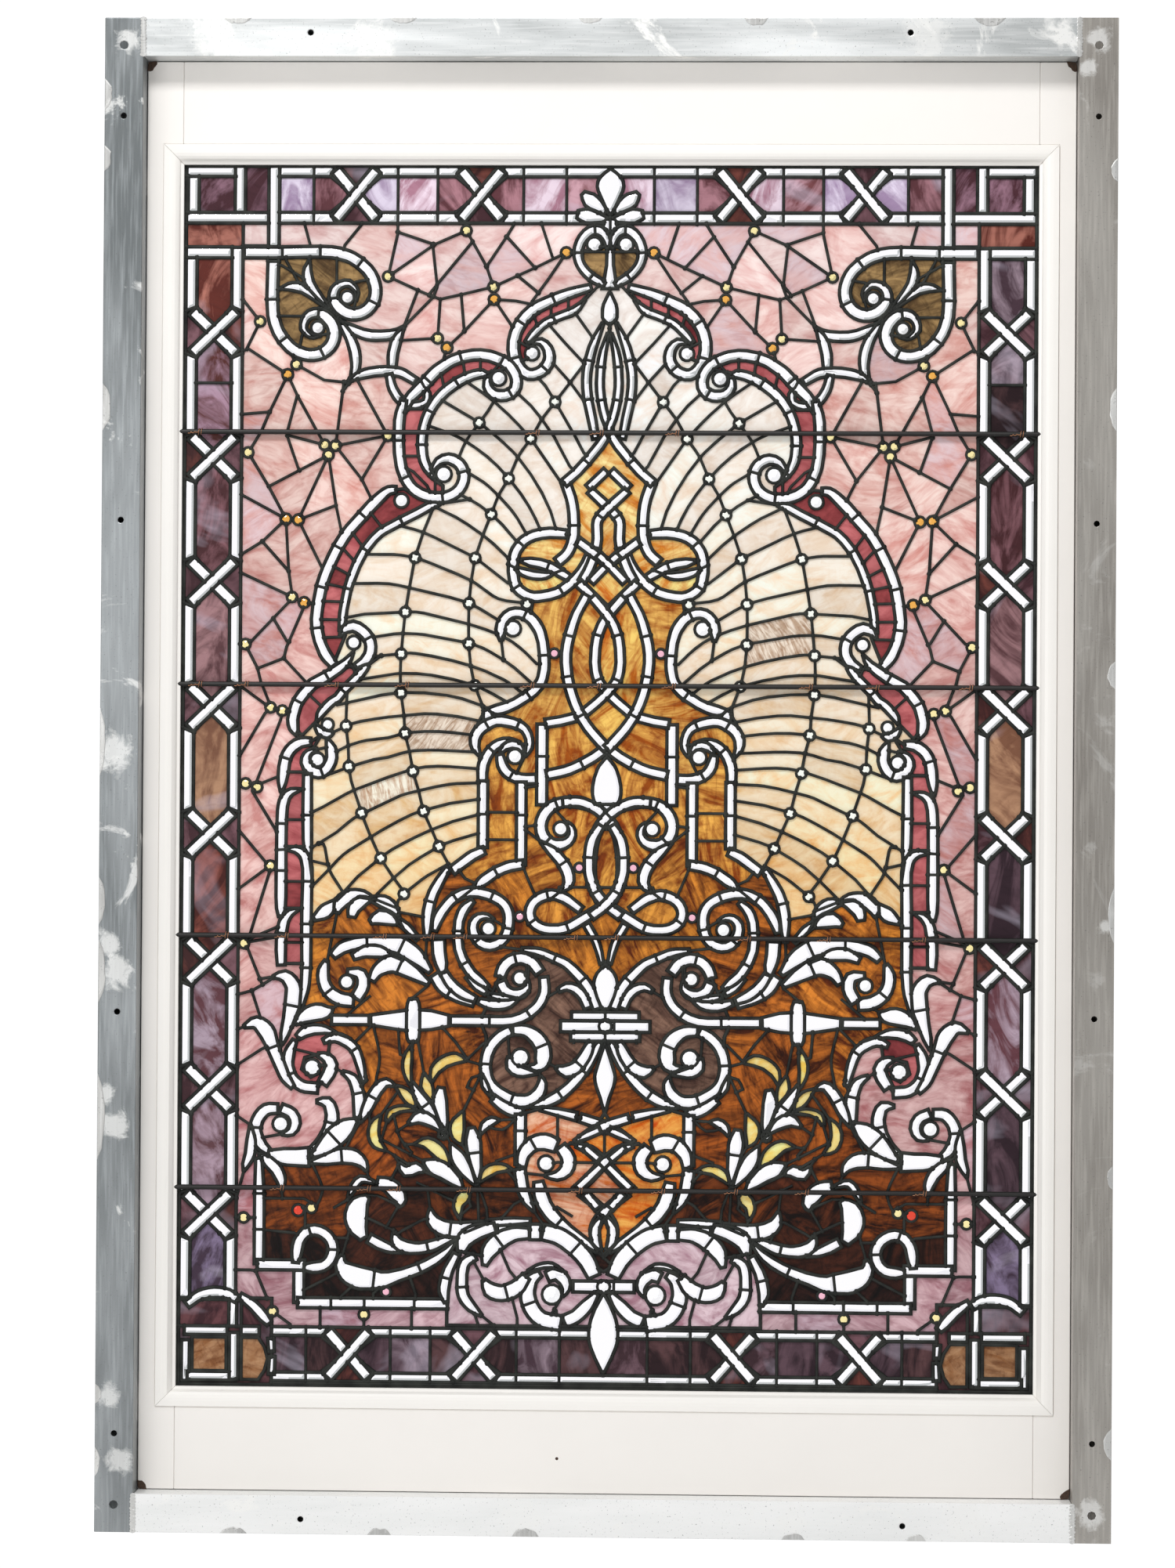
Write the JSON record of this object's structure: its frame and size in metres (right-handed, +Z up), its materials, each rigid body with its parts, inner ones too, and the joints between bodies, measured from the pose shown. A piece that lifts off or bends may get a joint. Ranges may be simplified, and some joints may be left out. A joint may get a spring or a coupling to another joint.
{
  "type": "framed leaded glass window panel",
  "caption": "Tall leaded window of bevelled, jewelled and opal glass in a white wooden sash with saddle bars, set in a welded aluminium box-section frame.",
  "frame": {"origin": "middle of the back face of the bottom aluminium rail, where the frame is fixed", "axes": "+Z up the window; the front faces -Y; +X is the viewer's right from the front"},
  "size_m": [1.284, 0.076, 1.922],
  "materials": {
    "aluminium": "brushed, rubbed and welded",
    "painted_wood": "white paint",
    "painted_bead": "white paint",
    "saddle_bar": "dark and dull",
    "opal_glass": "streaky, hardly seen through",
    "lead_came": "dark lead with solder"
  },
  "bodies": {
    "root": {"bead_bottom": "painted_bead", "bead_left": "painted_bead", "bead_right": "painted_bead", "bead_top": "painted_bead", "bevelled_straps": "lead_came", "edge_came_bottom": "lead_came", "edge_came_left": "lead_came", "edge_came_right": "lead_came", "edge_came_top": "lead_came", "frame_rail_bottom": "aluminium", "frame_rail_top": "aluminium", "frame_stile_left": "aluminium", "frame_stile_right": "aluminium", "glass_panes": "opal_glass", "saddle_bar_1": "saddle_bar", "saddle_bar_2": "saddle_bar", "saddle_bar_3": "saddle_bar", "saddle_bar_4": "saddle_bar", "sash_rail_bottom": "painted_wood", "sash_rail_top": "painted_wood", "sash_stile_left": "painted_wood", "sash_stile_right": "painted_wood"}
  },
  "joints": []
}
